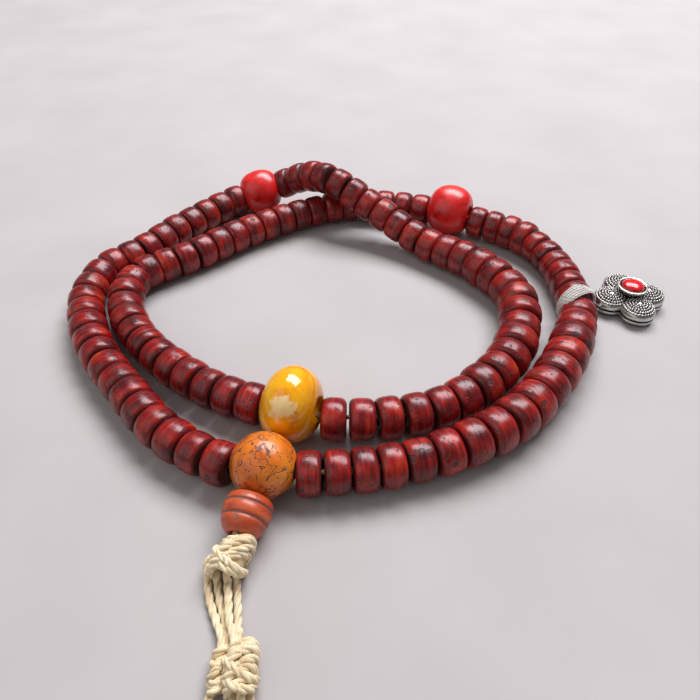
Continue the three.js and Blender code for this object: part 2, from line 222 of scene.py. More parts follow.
def frames(points, closed=False):
    """Tangent and two normals at each point, turned as little as possible."""
    p = np.asarray(points, float)
    if closed:
        t = np.roll(p, -1, 0) - np.roll(p, 1, 0)
    else:
        t = np.gradient(p, axis=0)
    t /= np.linalg.norm(t, axis=1)[:, None]
    n = np.zeros_like(t)
    start = np.array([0, 0, 1.0]) if abs(t[0][2]) < 0.9 else np.array([1.0, 0, 0])
    n[0] = start - t[0] * start.dot(t[0])
    n[0] /= np.linalg.norm(n[0])
    for i in range(1, len(p)):
        v = n[i - 1] - t[i] * n[i - 1].dot(t[i])
        n[i] = v / np.linalg.norm(v)
    return p, t, n, np.cross(t, n)


def rope_parts(points, radius, plies, pitch, sides, closed=False, phase=0.0, taper=None):
    """Vertices and faces of a twisted cord: each ply winds about the centreline.

    The pitch is how many radii of length one turn takes.
    """
    p, t, n, b = frames(points, closed)
    steps = np.linalg.norm(np.diff(p, axis=0), axis=1)
    along = np.concatenate([[0], np.cumsum(steps)])
    ply = radius * 0.56
    offset = radius * 0.46
    count = len(p)
    vertices, faces = [], []
    scale = np.ones(count) if taper is None else np.asarray(taper)
    for k in range(plies):
        turn = phase + 2 * math.pi * k / plies + 2 * math.pi * along / (pitch * radius)
        out = n * np.cos(turn)[:, None] + b * np.sin(turn)[:, None]
        centre = p + out * (offset * scale)[:, None]
        base = len(vertices)
        for i in range(count):
            for s in range(sides):
                a = 2 * math.pi * s / sides
                vertices.append(centre[i] + (n[i] * math.cos(a) + b[i] * math.sin(a)) * ply * scale[i])
        for i in range(count if closed else count - 1):
            here = base + i * sides
            there = base + (i + 1) % count * sides
            for s in range(sides):
                m = (s + 1) % sides
                faces.append((here + s, here + m, there + m, there + s))
        if not closed:
            faces.append(tuple(base + s for s in reversed(range(sides))))
            faces.append(tuple(base + (count - 1) * sides + s for s in range(sides)))
    return vertices, faces


def join_parts(parts):
    vertices, faces = [], []
    for v, f in parts:
        base = len(vertices)
        vertices.extend(v)
        faces.extend(tuple(base + i for i in face) for face in f)
    return vertices, faces


def as_part(mesh, place=Matrix()):
    """Vertices and faces of a mesh moved to its place; the mesh itself is dropped."""
    vertices = [np.array(place @ v.co) for v in mesh.vertices]
    faces = [tuple(p.vertices) for p in mesh.polygons]
    bpy.data.meshes.remove(mesh)
    return vertices, faces


# ---------------------------------------------------------------- material tools
def new_material(name):
    material = bpy.data.materials.new(name)
    material.use_nodes = True
    tree = material.node_tree
    return material, tree, tree.nodes["Principled BSDF"]


def add(tree, kind, links=None, **settings):
    made = tree.nodes.new(kind)
    for key, value in settings.items():
        setattr(made, key, value)
    for key, value in (links or {}).items():
        if isinstance(value, bpy.types.NodeSocket):
            tree.links.new(value, made.inputs[key])
        else:
            made.inputs[key].default_value = value
    return made


def object_coords(tree):
    return tree.nodes.new("ShaderNodeTexCoord").outputs["Object"]


def stretched(tree, vector, scale):
    return add(tree, "ShaderNodeMapping", {"Vector": vector, "Scale": scale}).outputs["Vector"]


def attribute_of(tree, name):
    return add(tree, "ShaderNodeAttribute", attribute_name=name).outputs["Fac"]


def noise_of(tree, vector, scale, detail=4.0, roughness=0.55, w=None, distortion=0.0):
    made = add(tree, "ShaderNodeTexNoise", {"Vector": vector}, noise_dimensions="4D" if w else "3D")
    made.inputs["Scale"].default_value = scale
    made.inputs["Detail"].default_value = detail
    made.inputs["Roughness"].default_value = roughness
    made.inputs["Distortion"].default_value = distortion
    if w:
        tree.links.new(w, made.inputs["W"])
    return made.outputs["Fac"]


def band(tree, value, low, high, out_low=0.0, out_high=1.0):
    links = {"Value": value, "From Min": low, "From Max": high, "To Min": out_low, "To Max": out_high}
    return add(tree, "ShaderNodeMapRange", links, interpolation_type="SMOOTHSTEP").outputs["Result"]


def ramp(tree, value, stops):
    made = add(tree, "ShaderNodeValToRGB", {"Fac": value})
    ends = made.color_ramp.elements
    while len(ends) < len(stops):
        ends.new(0.5)
    for end, (at, colour) in zip(ends, stops):
        end.position = at
        end.color = (*colour, 1)
    return made.outputs["Color"]


def mix(tree, factor, a, b, kind="MIX"):
    made = add(tree, "ShaderNodeMix", data_type="RGBA", blend_type=kind)
    for socket, value in ((made.inputs[0], factor), (made.inputs[6], a), (made.inputs[7], b)):
        if isinstance(value, bpy.types.NodeSocket):
            tree.links.new(value, socket)
        elif isinstance(value, (int, float)):
            socket.default_value = value
        else:
            socket.default_value = (*value, 1)
    return made.outputs[2]


def times(tree, a, b):
    return maths(tree, "MULTIPLY", a, b)


def plus(tree, a, b, clamp=False):
    return maths(tree, "ADD", a, b, clamp)


def minus(tree, a, b):
    return maths(tree, "SUBTRACT", a, b)


def maths(tree, kind, a, b=0.0, clamp=False):
    made = add(tree, "ShaderNodeMath", operation=kind, use_clamp=clamp)
    for socket, value in ((made.inputs[0], a), (made.inputs[1], b)):
        if isinstance(value, bpy.types.NodeSocket):
            tree.links.new(value, socket)
        else:
            socket.default_value = value
    return made.outputs[0]


def bump(tree, height, distance):
    links = {"Height": height, "Distance": distance, "Strength": 1.0}
    return add(tree, "ShaderNodeBump", links).outputs["Normal"]


def patch(tree, coords, place, scale, raggedness, inner, outer):
    """A ragged spot about a place on the surface: 1 inside, fading to 0."""
    reach = add(tree, "ShaderNodeVectorMath", {0: coords, 1: place}, operation="DISTANCE")
    ragged = times(tree, minus(tree, noise_of(tree, coords, scale, 4, 0.6), 0.5), raggedness)
    return band(tree, plus(tree, reach.outputs["Value"], ragged), inner, outer, 1.0, 0.0)


def radius_and_height(tree, coords):
    parts = add(tree, "ShaderNodeSeparateXYZ", {"Vector": coords})
    flat = add(tree, "ShaderNodeCombineXYZ", {"X": parts.outputs["X"], "Y": parts.outputs["Y"]})
    length = add(tree, "ShaderNodeVectorMath", {0: flat.outputs["Vector"]}, operation="LENGTH")
    return length.outputs["Value"], parts.outputs["Z"]


def finish_material(tree, shader, colour, roughness, normal=None, **values):
    """Link the three maps, and set the shader's other inputs to plain values."""
    tree.links.new(colour, shader.inputs["Base Color"])
    tree.links.new(roughness, shader.inputs["Roughness"])
    if normal:
        tree.links.new(normal, shader.inputs["Normal"])
    for name, value in values.items():
        shader.inputs[name.replace("_", " ")].default_value = value


# ---------------------------------------------------------------- materials
def lacquer_material():
    """Dark red lacquer over a fibrous seed: streaks round the bead, pits, and painted shade on the flat
    faces where neighbouring beads touch.
    """
    material, tree, shader = new_material("bead_lacquer")
    coords = object_coords(tree)
    seed = attribute_of(tree, "seed")
    radius, _ = radius_and_height(tree, coords)
    round_bead = stretched(tree, coords, (110, 110, 1500))
    streak = noise_of(tree, round_bead, 1.0, 5, 0.6, seed)
    cloud = noise_of(tree, coords, 230, 3, 0.5, seed)
    tone = plus(tree, times(tree, cloud, 0.6), times(tree, streak, 0.42))
    colour = ramp(tree, tone, [
        (0.35, (0.042, 0.002, 0.003)),
        (0.46, (0.130, 0.003, 0.004)),
        (0.55, (0.255, 0.006, 0.005)),
        (0.63, (0.390, 0.019, 0.006)),
        (0.70, (0.450, 0.080, 0.016)),
    ])
    worn = band(tree, noise_of(tree, coords, 420, 4, 0.6, seed), 0.56, 0.66)
    colour = mix(tree, times(tree, worn, 0.55), colour, (0.090, 0.030, 0.016))
    fleck = noise_of(tree, coords, 1250, 3, 0.6, seed)
    flecks = band(tree, fleck, 0.60, 0.65)
    pits = band(tree, noise_of(tree, round_bead, 1.9, 4, 0.7, seed), 0.64, 0.69)
    crater = lacquer_craters(tree, coords, seed, fleck)
    marks = maths(tree, "MAXIMUM", maths(tree, "MAXIMUM", flecks, pits), crater)
    colour = mix(tree, times(tree, marks, 0.85), colour, (0.034, 0.028, 0.030))
    # Painted shade: the flat faces, where neighbouring beads touch, are mixed towards near-black red;
    # they are also made rougher.
    face = band(tree, radius, 0.0035, 0.0042, 1.0, 0.0)
    colour = mix(tree, times(tree, face, 0.75), colour, (0.035, 0.008, 0.007))
    rough = plus(tree, band(tree, streak, 0.3, 0.75, 0.22, 0.40), times(tree, marks, 0.35))
    rough = plus(tree, rough, times(tree, face, 0.3), clamp=True)
    depth = minus(tree, times(tree, streak, 0.5), marks)
    finish_material(tree, shader, colour, rough, bump(tree, depth, 0.00014),
                    Specular_IOR_Level=0.42, Coat_Weight=0.12, Coat_Roughness=0.25)
    return material


def lacquer_craters(tree, coords, seed, fleck):
    """A few ragged chips in the lacquer, in cells picked by their own random colour."""
    links = {"Vector": coords, "Scale": 330.0, "W": seed}
    cells = add(tree, "ShaderNodeTexVoronoi", links, voronoi_dimensions="4D")
    chosen = add(tree, "ShaderNodeSeparateColor", {"Color": cells.outputs["Color"]}).outputs["Red"]
    ragged = plus(tree, cells.outputs["Distance"], times(tree, minus(tree, fleck, 0.5), 0.35))
    return times(tree, band(tree, ragged, 0.20, 0.30, 1.0, 0.0), band(tree, chosen, 0.70, 0.72))


def coral_material():
    """Satin red coral glass with faint cloudy bands and tiny scuffs."""
    material, tree, shader = new_material("coral_red")
    coords = object_coords(tree)
    cloud = noise_of(tree, coords, 190, 4, 0.6, distortion=0.6)
    colour = ramp(tree, cloud, [
        (0.32, (0.46, 0.004, 0.004)),
        (0.50, (0.68, 0.009, 0.007)),
        (0.66, (0.80, 0.020, 0.014)),
    ])
    scuff = noise_of(tree, coords, 1500, 4, 0.65)
    scuffs = band(tree, scuff, 0.64, 0.72)
    colour = mix(tree, times(tree, scuffs, 0.5), colour, (0.25, 0.02, 0.015))
    rough = plus(tree, band(tree, cloud, 0.3, 0.7, 0.24, 0.4), times(tree, scuffs, 0.2))
    depth = plus(tree, times(tree, cloud, 0.5), times(tree, scuff, 0.2))
    finish_material(tree, shader, colour, rough, bump(tree, depth, 0.00012),
                    Subsurface_Weight=0.12, Subsurface_Radius=(0.0012, 0.0003, 0.0002),
                    Coat_Weight=0.3, Coat_Roughness=0.2)
    return material


def amber_material():
    """Polished cloudy amber: yellow, orange-brown towards the rims, and a pale cream patch that is a
    painted reflection of the window.
    """
    material, tree, shader = new_material("amber_yellow")
    coords = object_coords(tree)
    _, height = radius_and_height(tree, coords)
    cloud = noise_of(tree, coords, 150, 4, 0.55, distortion=1.2)
    colour = ramp(tree, cloud, [
        (0.30, (0.66, 0.23, 0.001)),
        (0.45, (0.84, 0.37, 0.002)),
        (0.60, (0.90, 0.47, 0.004)),
        (0.72, (0.92, 0.54, 0.010)),
    ])
    ends = band(tree, maths(tree, "ABSOLUTE", height), 0.0036, 0.0062)
    colour = mix(tree, times(tree, ends, 0.65), colour, (0.58, 0.18, 0.001))
    # Painted reflection: a ragged cream patch where the window is reflected in the amber.
    painted_window_reflection = patch(tree, coords, (0.0052, -0.0060, -0.0004), 480, 0.008, 0.0020, 0.0027)
    colour = mix(tree, times(tree, painted_window_reflection, 0.75), colour, (0.88, 0.70, 0.36))
    finish_material(tree, shader, colour, band(tree, cloud, 0.3, 0.7, 0.08, 0.18),
                    Subsurface_Weight=0.3, Subsurface_Radius=(0.003, 0.0015, 0.0004),
                    Coat_Weight=0.5, Coat_Roughness=0.08)
    return material


def guru_material():
    """Orange seed with dark grey worm lines, a worn patch and a waxy polish."""
    material, tree, shader = new_material("guru_orange")
    coords = object_coords(tree)
    swirl = noise_of(tree, coords, 250, 2.0, 0.5, distortion=1.3)
    worm = maths(tree, "ABSOLUTE", minus(tree, swirl, 0.5))
    broken = noise_of(tree, coords, 520, 3, 0.6)
    line = times(tree, band(tree, worm, 0.010, 0.028, 1.0, 0.0), band(tree, broken, 0.40, 0.47))
    specks = band(tree, noise_of(tree, coords, 1500, 3, 0.6), 0.62, 0.68)
    line = maths(tree, "MAXIMUM", line, specks)
    cloud = noise_of(tree, coords, 170, 4, 0.55)
    colour = ramp(tree, cloud, [
        (0.30, (0.46, 0.085, 0.004)),
        (0.48, (0.66, 0.160, 0.006)),
        (0.64, (0.78, 0.240, 0.012)),
    ])
    worn = patch(tree, coords, (-0.0042, -0.0045, -0.0018), 380, 0.009, 0.0016, 0.0034)
    colour = mix(tree, times(tree, worn, 0.6), colour, (0.17, 0.14, 0.07))
    colour = mix(tree, times(tree, line, 0.88), colour, (0.060, 0.036, 0.046))
    rough = plus(tree, band(tree, cloud, 0.3, 0.7, 0.26, 0.38), times(tree, line, 0.3))
    depth = minus(tree, times(tree, broken, 0.2), times(tree, line, 0.8))
    finish_material(tree, shader, colour, rough, bump(tree, depth, 0.00012),
                    Coat_Weight=0.25, Coat_Roughness=0.2)
    return material


def tower_material():
    """Orange-red bead; its grooves and flecks are grey-brown."""
    material, tree, shader = new_material("tower_orange")
    coords = object_coords(tree)
    groove = attribute_of(tree, "groove")
    grain = noise_of(tree, stretched(tree, coords, (90, 90, 700)), 1.0, 4, 0.6)
    colour = ramp(tree, grain, [
        (0.30, (0.36, 0.034, 0.010)),
        (0.50, (0.50, 0.070, 0.016)),
        (0.68, (0.60, 0.110, 0.024)),
    ])
    fleck = noise_of(tree, coords, 800, 3, 0.6)
    flecks = band(tree, fleck, 0.575, 0.625)
    edge = plus(tree, groove, times(tree, minus(tree, fleck, 0.5), 1.2))
    dirt = maths(tree, "MAXIMUM", band(tree, edge, 0.45, 0.75), times(tree, flecks, 0.8))
    colour = mix(tree, times(tree, dirt, 0.7), colour, (0.15, 0.095, 0.075))
    rough = plus(tree, band(tree, grain, 0.3, 0.7, 0.36, 0.48), times(tree, dirt, 0.25))
    depth = minus(tree, times(tree, grain, 0.3), times(tree, dirt, 0.6))
    finish_material(tree, shader, colour, rough, bump(tree, depth, 0.0001),
                    Coat_Weight=0.3, Coat_Roughness=0.22)
    return material


def cotton_material(name, dark, middle, light):
    """Twisted cotton: fine fibres, slightly uneven in tone."""
    material, tree, shader = new_material(name)
    coords = object_coords(tree)
    fibre = noise_of(tree, coords, 5200, 4, 0.65)
    cloud = noise_of(tree, coords, 420, 3, 0.55)
    tone = plus(tree, times(tree, fibre, 0.5), times(tree, cloud, 0.5))
    colour = ramp(tree, tone, [(0.34, dark), (0.5, middle), (0.64, light)])
    rough = band(tree, fibre, 0.3, 0.7, 0.8, 0.95)
    finish_material(tree, shader, colour, rough, bump(tree, fibre, 0.00012),
                    Sheen_Weight=0.35, Sheen_Roughness=0.5)
    return material


def silver_material():
    """Antique silver: bright on what stands proud, black in the recesses."""
    material, tree, shader = new_material("antique_silver")
    coords = object_coords(tree)
    recess = attribute_of(tree, "recess")
    patina = noise_of(tree, coords, 900, 4, 0.6)
    edge = plus(tree, recess, times(tree, minus(tree, patina, 0.5), 0.6))
    dark = band(tree, edge, 0.38, 0.70)
    colour = ramp(tree, patina, [(0.35, (0.46, 0.45, 0.42)), (0.65, (0.66, 0.65, 0.61))])
    colour = mix(tree, dark, colour, (0.018, 0.017, 0.016))
    rough = plus(tree, band(tree, patina, 0.3, 0.7, 0.20, 0.34), times(tree, dark, 0.35))
    finish_material(tree, shader, colour, rough, bump(tree, patina, 0.00005), Metallic=1.0)
    return material


def stone_material():
    """Glossy red cabochon, deeper at the rim."""
    material, tree, shader = new_material("cabochon_red")
    coords = object_coords(tree)
    cloud = noise_of(tree, coords, 700, 3, 0.5)
    radius, _ = radius_and_height(tree, coords)
    colour = ramp(tree, cloud, [(0.35, (0.60, 0.004, 0.008)), (0.65, (0.80, 0.012, 0.016))])
    colour = mix(tree, band(tree, radius, 0.0019, 0.0029), colour, (0.30, 0.002, 0.004))
    finish_material(tree, shader, colour, band(tree, cloud, 0.3, 0.7, 0.14, 0.22),
                    Coat_Weight=0.3, Coat_Roughness=0.12)
    return material


LACQUER = lacquer_material()
CORAL = coral_material()
AMBER = amber_material()
GURU = guru_material()
TOWER = tower_material()
STRING = cotton_material(
    "string_cord", (0.20, 0.10, 0.045), (0.36, 0.21, 0.10), (0.55, 0.36, 0.20))
COTTON = cotton_material(
    "tassel_cotton", (0.55, 0.40, 0.20), (0.84, 0.69, 0.43), (0.95, 0.85, 0.61))
THREAD = cotton_material(
    "white_thread", (0.60, 0.58, 0.52), (0.82, 0.80, 0.75), (0.93, 0.92, 0.89))
SILVER = silver_material()
STONE = stone_material()


# ---------------------------------------------------------------- camera, floor, light
CAMERA_PLACE = (-0.005778, -0.119411, 0.1051)
CAMERA_TILT = math.radians(47)
LENS_MM = 31.99
FLOOR_REACH = 1.6


def set_up_camera():
    data = bpy.data.cameras.new("camera")
    data.lens = LENS_MM
    data.sensor_width = 36
    data.clip_start = 0.005
    camera = bpy.data.objects.new("camera", data)
    camera.location = CAMERA_PLACE
    camera.rotation_euler = (CAMERA_TILT, 0, 0)
    bpy.context.scene.collection.objects.link(camera)
    bpy.context.scene.camera = camera


def set_up_floor():
    corners = [(x * FLOOR_REACH, y * FLOOR_REACH, 0) for x, y in ((-1, -1), (1, -1), (1, 1), (-1, 1))]
    mesh = mesh_from("floor", corners, [(0, 1, 2, 3)])
    material, tree, shader = new_material("floor")
    coords = object_coords(tree)
    grain = noise_of(tree, coords, 30, 3, 0.5)
    colour = ramp(tree, grain, [(0.3, (0.43, 0.415, 0.405)), (0.7, (0.47, 0.455, 0.445))])
    rough = band(tree, grain, 0.3, 0.7, 0.75, 0.85)
    finish_material(tree, shader, colour, rough, Specular_IOR_Level=0.2)
    mesh.materials.append(material)
    floor = bpy.data.objects.new("floor", mesh)
    bpy.context.scene.collection.objects.link(floor)


def area_light(name, place, target, size, power, colour):
    data = bpy.data.lights.new(name, "AREA")
    data.shape = "RECTANGLE"
    data.size, data.size_y = size
    data.energy = power
    data.color = colour
    lamp = bpy.data.objects.new(name, data)
    lamp.location = place
    direction = Vector(target) - Vector(place)
    lamp.rotation_euler = direction.to_track_quat("-Z", "Y").to_euler()
    bpy.context.scene.collection.objects.link(lamp)


def set_up_light():
    world = bpy.data.worlds.new("world")
    world.use_nodes = True
    background = world.node_tree.nodes["Background"]
    background.inputs["Color"].default_value = (0.98, 0.97, 1.0, 1)
    background.inputs["Strength"].default_value = 0.20
    bpy.context.scene.world = world
    area_light("window", (0.20, 0.46, 0.78), (0, 0, 0), (0.85, 0.46), 14.5, (0.98, 0.95, 1.0))
    area_light("fill", (-0.55, -0.35, 0.60), (0, 0, 0), (1.0, 1.0), 2.2, (1.0, 0.96, 0.93))
    bpy.context.scene.view_settings.view_transform = "Standard"


# ---------------------------------------------------------------- the string
def closed_curve(points, steps):
    """A smooth loop through the points: a list of points for every stretch."""
    count = len(points)
    stretches = []
    for i in range(count):
        a, b, c, d = (points[(i + k) % count] for k in (-1, 0, 1, 2))
        stretches.append([catmull(a, b, c, d, k / steps) for k in range(steps)])
    return stretches


STRETCHES = closed_curve([Vector(row[:3]) for row in ROUTE], 40)


def stretch_frame(i, share):
    """Point and direction at a share of the way along stretch i, and the stretch's length."""
    points = STRETCHES[i] + [STRETCHES[(i + 1) % len(STRETCHES)][0]]
    lengths = [0]
    for a, b in zip(points, points[1:]):
        lengths.append(lengths[-1] + (b - a).length)
    wanted = share * lengths[-1]
    k = min(max(int(np.searchsorted(lengths, wanted)) - 1, 0), len(points) - 2)
    part = (wanted - lengths[k]) / max(lengths[k + 1] - lengths[k], 1e-9)
    return points[k].lerp(points[k + 1], part), (points[k + 1] - points[k]).normalized(), lengths[-1]


def bead_mesh(name, thickness, r, seed):
    """One disc bead: full rounded edge, slightly dished worn faces, not quite round."""
    h = thickness / 2
    half = [
        (BORE_RADIUS, 0.55 * h),
        (BORE_RADIUS, 0.88 * h),
        (BORE_RADIUS * 1.25, 0.95 * h),
        (0.45 * r, 0.965 * h),
        (0.66 * r, 0.99 * h),
        (0.77 * r, 0.98 * h),
        (0.86 * r, 0.92 * h),
        (0.925 * r, 0.81 * h),
        (0.966 * r, 0.66 * h),
        (0.990 * r, 0.44 * h),
        (0.999 * r, 0.2 * h),
        (r, 0.0),
    ]
    outline = [(a, -b) for a, b in half] + [(a, b) for a, b in reversed(half[:-1])]
    outline.append(outline[0])
    shift = Vector((seed * 7.3, seed * 3.1, seed * 1.7))
    oval = 1 + 0.012 * math.sin(seed * 12.9)
    lean = 0.035 * math.sin(seed * 5.7)

    def shape(v):
        out = noise.noise(Vector(v) * 210 + shift) * 0.012 + noise.noise(Vector(v) * 620 + shift) * 0.006
        swell = 1 + out * min(1, math.hypot(v.x, v.y) / r)
        z = v.z * (1 + out * 0.8) + lean * v.x * (v.z / h)
        return Vector((v.x * swell * oval, v.y * swell / oval, z))

    mesh = lathe(name, outline, 44, shape)
    set_attribute(mesh, "seed", [seed] * len(mesh.vertices))
    return mesh


RAISED = range(10, 15)  # the stretches that cross over the other turn
CHARM_SIDE = 0.047  # past this x lies the stretch beside the charm


def holds_marker(i):
    held = ROUTE[i % len(ROUTE)][3]
    return isinstance(held, str) and held != "tie"


def bead_share(i, k, count):
    """Where bead k of a stretch sits: evenly spaced, but pushed up against a marker."""
    share = (k + 0.5) / count
    push = 0.10 / count
    if holds_marker(i + 1):
        share += push * (k + 1) / count
    if holds_marker(i - 1):
        share -= push * (count - k) / count
    return share


def bead_height(i, height, radius):
    """Beads lie on the table except on the stretches that cross over the other turn."""
    rest = radius + 0.00004
    if i in RAISED:
        return max(height, rest)
    return rest + max(0.0, height - rest) * 0.45


def fullness_at(place):
    """Beads grow towards the right-hand side, but not in the stretch beside the charm."""
    side = within(0, 1, (place.x - 0.006) / 0.026)
    near = within(0, 1, (0.050 - place.y) / 0.030)
    if place.x > CHARM_SIDE:
        near = within(0, 1, (0.002 - place.y) / 0.012)
    return 1 + 0.14 * side * side * (3 - 2 * side) * near


def string_beads():
    """Every stretch of ROUTE that holds beads is one run of the frame."""
    runs = [(i, row[3]) for i, row in enumerate(ROUTE) if isinstance(row[3], int)]
    number = 0
    for run, (i, count) in enumerate(runs, start=1):
        for k in range(count):
            number += 1
            mesh, matrix = string_bead(i, k, count, number)
            add_piece(mesh.name, mesh, LACQUER, f"run_{run:02d}", [f"bead_run_{run:02d}"],
                      matrix)


def string_bead(i, k, count, number):
    """Bead k of a stretch: a little thicker or thinner, tilted and turned than its neighbours."""
    at, way, length = stretch_frame(i, bead_share(i, k, count))
    full = fullness_at(at)
    thickness = BEAD_THICKNESS * full * (1 + rng.uniform(-0.03, 0.04))
    thickness = min(thickness, length / count * 0.975)
    radius = BEAD_RADIUS * (full * (1 + rng.uniform(-0.03, 0.012)))
    if i not in RAISED:
        way = Vector((way.x, way.y, way.z * 0.4))
    wobble = Vector((rng.uniform(-1, 1), rng.uniform(-1, 1), rng.uniform(-1, 1))) * 0.035
    turn = Matrix.Rotation(rng.uniform(0, 2 * math.pi), 3, "Z")
    place = Vector((at.x, at.y, bead_height(i, at.z, radius)))
    matrix = Matrix.Translation(place) @ (basis(way + wobble) @ turn).to_4x4()
    return bead_mesh(f"bead_{number:03d}", thickness, radius, number * 1.37), matrix


def main_cord():
    """The cord through all the beads; both its ends are inside the guru bead."""
    first, last = STRETCHES[0][0], STRETCHES[-1][0]
    guru = (last + first) / 2
    inside = (first - last).normalized() * 0.0012
    points = [p for stretch in STRETCHES[:-1] for p in stretch[::2]] + [last]
    points = resample([guru + inside, *points, guru - inside], 0.0011)
    vertices, faces = rope_parts(points, STRING_RADIUS, 2, 7.0, 6)
    mesh = mesh_from("main_cord_strand", vertices, faces)
    add_piece("main_cord_strand", mesh, STRING, "string", ["main_cord"])


# ---------------------------------------------------------------- marker beads
def marker(name, body, material, length, radius, fullness, narrowing, seed):
    """A large bead between its two rows of ROUTE; narrowing makes one side of it shorter."""
    i = [row[3] for row in ROUTE].index(name)
    a, b = Vector(ROUTE[i][:3]), Vector(ROUTE[(i + 1) % len(ROUTE)][:3])
    axis = (b - a).normalized()
    centre = (a + b) / 2
    centre.z = max(centre.z, radius)
    bore, steps, rim = 0.0014, 22, 0.07
    outline = [(bore, -0.40 * length)]
    for k in range(steps + 1):
        angle = math.pi * (rim + (1 - 2 * rim) * k / steps)
        reach = -math.cos(angle) / math.cos(rim * math.pi)
        outline.append((radius * math.sin(angle) ** fullness, 0.5 * length * reach))
    outline.append((bore, 0.40 * length))
    outline.append(outline[0])
    shift = Vector((seed, seed * 2, seed * 3))

    def shape(v):
        out = 1 + 0.02 * noise.noise(Vector(v) * 110 + shift)
        return Vector((v.x * out, v.y * out, v.z * (1 - narrowing * v.x / radius)))

    mesh = lathe(name + "_body", outline, 64, shape)
    matrix = Matrix.Translation(centre) @ basis(axis).to_4x4()
    add_piece(name + "_body", mesh, material, body, [name], matrix)


def guru_bead(centre, tassel):
    """The three-holed guru bead: a ball with its two string holes and a tassel hole let in."""
    way = (Vector(ROUTE[0][:3]) - Vector(ROUTE[-1][:3])).normalized()
    holes = [(way, 0.0015), (-way, 0.0015), (tassel, 0.0018)]
    mesh = bpy.data.meshes.new("guru_bead_body")
    ball = bmesh.new()
    bmesh.ops.create_icosphere(ball, subdivisions=6, radius=GURU_RADIUS)
    for vertex in ball.verts:
        direction = vertex.co.normalized()
        vertex.co *= 1 + 0.012 * noise.noise(direction * 2.2) + 0.004 * noise.noise(direction * 7)
        for hole, size in holes:
            let_in(vertex, direction, hole, size)
    ball.to_mesh(mesh)
    ball.free()
    matrix = Matrix.Translation(centre)
    add_piece(mesh.name, mesh, GURU, "guru", ["guru_bead"], matrix)


def let_in(vertex, direction, hole, size):
    """Sink what lies over a hole to its floor, and round what lies just outside its edge."""
    angle = direction.angle(hole)
    edge = size / GURU_RADIUS
    if angle < edge:
        side = direction - hole * direction.dot(hole)
        out = min(side.length * GURU_RADIUS, size * 0.99)
        vertex.co = hole * (GURU_RADIUS * 0.72) + side.normalized() * out
    elif angle < edge * 1.35:
        inside = within(0, 1, (edge * 1.35 - angle) / (edge * 0.35))
        vertex.co -= hole * 0.0004 * inside ** 2


def tower_bead(centre, tassel):
    """A small barrel with two turned grooves, dark with age."""
    grooves = (0.282, 0.625)
    # Outside of the barrel as shares of its radius and length; the bore is added below.
    barrel = [
        (0.60, 0.0), (0.78, 0.02), (0.88, 0.07), (0.94, 0.14), (0.972, 0.21), (0.975, 0.245),
        (0.935, 0.275), (0.93, 0.29), (0.972, 0.325), (0.99, 0.37), (1.0, 0.45), (0.985, 0.53),
        (0.955, 0.585), (0.895, 0.615), (0.885, 0.635), (0.92, 0.67), (0.90, 0.73), (0.84, 0.82),
        (0.74, 0.91), (0.62, 0.97), (0.55, 1.0),
    ]
    bore, mouth = 0.0018, 0.0020
    outline = [(bore, 0.02), (mouth, 0.0)] + [(a * TOWER_RADIUS, b) for a, b in barrel]
    outline += [(mouth, 1.0), (bore, 0.98), (bore, 0.02)]
    points = [(a, (b - 0.5) * TOWER_LENGTH) for a, b in outline]

    def shape(v):
        out = 1 + 0.018 * noise.noise(Vector(v) * 160 + Vector((4, 1, 9)))
        return Vector((v.x * out, v.y * out, v.z))

    mesh = lathe("tower_bead_body", points, 56, shape)
    shares = [vertex.co.z / TOWER_LENGTH + 0.5 for vertex in mesh.vertices]
    depth = [max(math.exp(-((share - g) / 0.045) ** 2) for g in grooves) for share in shares]
    set_attribute(mesh, "groove", depth)
    matrix = Matrix.Translation(centre + tassel * TOWER_DISTANCE) @ basis(tassel).to_4x4()
    add_piece("tower_bead_body", mesh, TOWER, "tower", ["tower_bead"], matrix)


# ---------------------------------------------------------------- tassel
TASSEL_CORDS = [
    [(-0.0308, -0.0640, 0.0026), (-0.0307, -0.0674, 0.0013), (-0.0297, -0.0710, 0.0009),
     (-0.0281, -0.0744, 0.0010), (-0.0266, -0.0778, 0.0016)],
    [(-0.0293, -0.0645, 0.0029), (-0.0290, -0.0674, 0.0014), (-0.0280, -0.0710, 0.0008),
     (-0.0266, -0.0744, 0.0009), (-0.0254, -0.0778, 0.0017)],
    [(-0.0275, -0.0640, 0.0034), (-0.0271, -0.0674, 0.0024), (-0.0265, -0.0706, 0.0021),
     (-0.0258, -0.0744, 0.0024), (-0.0245, -0.0778, 0.0032)],
    [(-0.0262, -0.0640, 0.0026), (-0.0256, -0.0674, 0.0013), (-0.0251, -0.0706, 0.0009),
     (-0.0245, -0.0744, 0.0009), (-0.0237, -0.0778, 0.0018)],
]
TASSEL_ENDS = [
    [(-0.0273, -0.0867, 0.0015), (-0.0285, -0.0929, 0.0008), (-0.0308, -0.1009, 0.0008),
     (-0.0316, -0.1089, 0.0008), (-0.0306, -0.1159, 0.0008)],
    [(-0.0236, -0.0866, 0.0017), (-0.0244, -0.0929, 0.0008), (-0.0236, -0.0999, 0.0008),
     (-0.0243, -0.1069, 0.0008), (-0.0256, -0.1139, 0.0008)],
    [(-0.0222, -0.0866, 0.0031), (-0.0218, -0.0919, 0.0011), (-0.0199, -0.0989, 0.0008),
     (-0.0194, -0.1059, 0.0008), (-0.0203, -0.1129, 0.0008)],
    [(-0.0210, -0.0866, 0.0015), (-0.0195, -0.0919, 0.0008), (-0.0159, -0.0979, 0.0008),
     (-0.0136, -0.1039, 0.0008), (-0.0135, -0.1099, 0.0008)],
]


